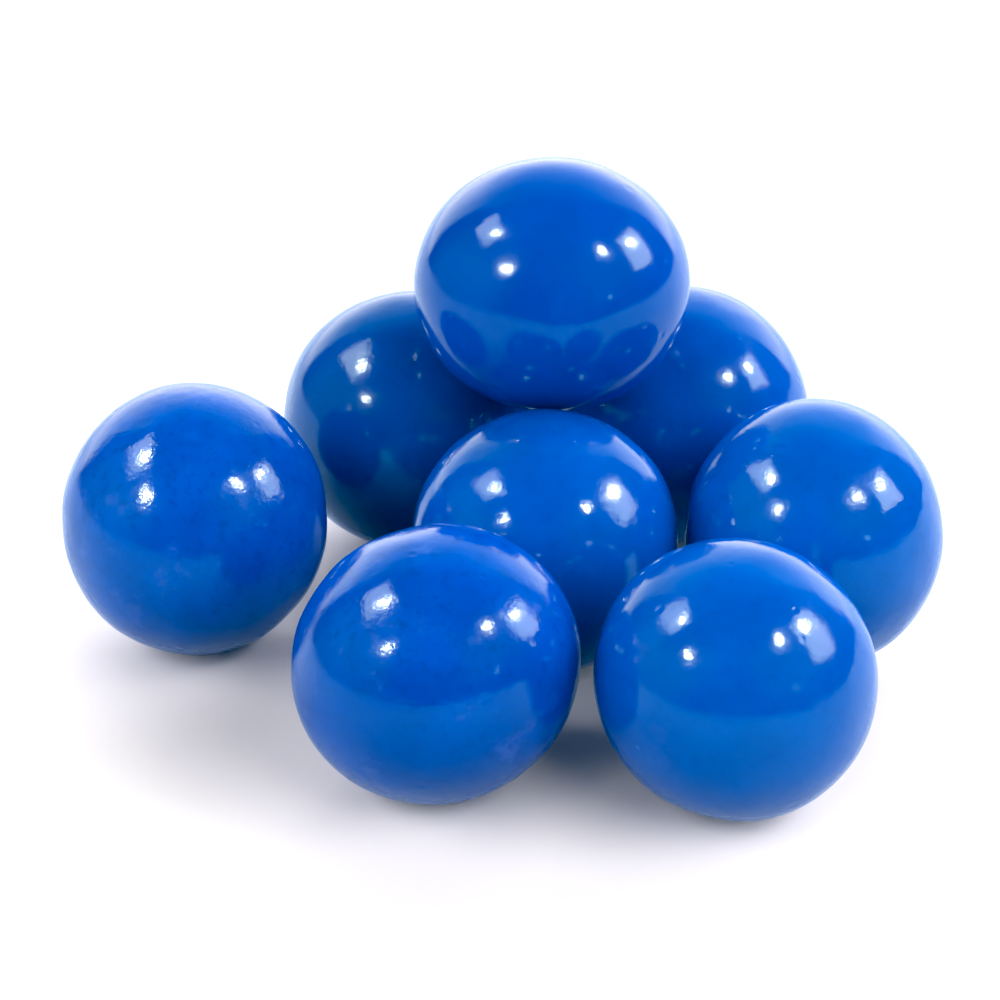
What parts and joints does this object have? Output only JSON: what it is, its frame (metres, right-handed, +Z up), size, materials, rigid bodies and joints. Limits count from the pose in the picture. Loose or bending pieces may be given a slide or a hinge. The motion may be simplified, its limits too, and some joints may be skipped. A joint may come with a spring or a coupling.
{
  "type": "pile of gumballs",
  "caption": "Small loose pile of glossy royal-blue gumballs, one resting on three others, each a hollow gum ball in a white sugar shell and a thin colour coat.",
  "frame": {"origin": "on the table, at the centre of the underside of the pile's bounding box", "axes": "+X along the widest row of gumballs, to the right as seen from the front; +Y to the back; +Z up, the shortest side"},
  "size_m": [0.08, 0.0742, 0.042],
  "materials": {
    "colour_coat": "glossy, wax-polished hard sugar coat",
    "sugar_shell": "matt white hard-panned sugar",
    "gum": "satin, soft chewing gum"
  },
  "bodies": {
    "middle_gumball": {"middle_gum_centre": "gum", "middle_sugar_shell": "sugar_shell", "middle_colour_coat": "colour_coat"},
    "top_gumball": {"top_gum_centre": "gum", "top_sugar_shell": "sugar_shell", "top_colour_coat": "colour_coat"},
    "back_left_gumball": {"back_left_gum_centre": "gum", "back_left_sugar_shell": "sugar_shell", "back_left_colour_coat": "colour_coat"},
    "back_right_gumball": {"back_right_gum_centre": "gum", "back_right_sugar_shell": "sugar_shell", "back_right_colour_coat": "colour_coat"},
    "left_gumball": {"left_gum_centre": "gum", "left_sugar_shell": "sugar_shell", "left_colour_coat": "colour_coat"},
    "right_gumball": {"right_gum_centre": "gum", "right_sugar_shell": "sugar_shell", "right_colour_coat": "colour_coat"},
    "front_left_gumball": {"front_left_gum_centre": "gum", "front_left_sugar_shell": "sugar_shell", "front_left_colour_coat": "colour_coat"},
    "front_right_gumball": {"front_right_gum_centre": "gum", "front_right_sugar_shell": "sugar_shell", "front_right_colour_coat": "colour_coat"}
  },
  "joints": [
    {"name": "top_lift", "type": "slide", "parent": "middle_gumball", "child": "top_gumball", "axis": [0, 0, 1], "range_m": [0, 0.05]},
    {"name": "back_left_pull", "type": "slide", "parent": "middle_gumball", "child": "back_left_gumball", "axis": [-0.7296, 0.4668, 0.4998], "range_m": [0, 0.05]},
    {"name": "back_right_pull", "type": "slide", "parent": "middle_gumball", "child": "back_right_gumball", "axis": [0.6841, 0.531, 0.5], "range_m": [0, 0.05]},
    {"name": "left_lift", "type": "slide", "parent": "middle_gumball", "child": "left_gumball", "axis": [0, 0, 1], "range_m": [0, 0.05]},
    {"name": "right_lift", "type": "slide", "parent": "middle_gumball", "child": "right_gumball", "axis": [0, 0, 1], "range_m": [0, 0.05]},
    {"name": "front_left_lift", "type": "slide", "parent": "middle_gumball", "child": "front_left_gumball", "axis": [0, 0, 1], "range_m": [0, 0.05]},
    {"name": "front_right_lift", "type": "slide", "parent": "middle_gumball", "child": "front_right_gumball", "axis": [0, 0, 1], "range_m": [0, 0.05]}
  ]
}
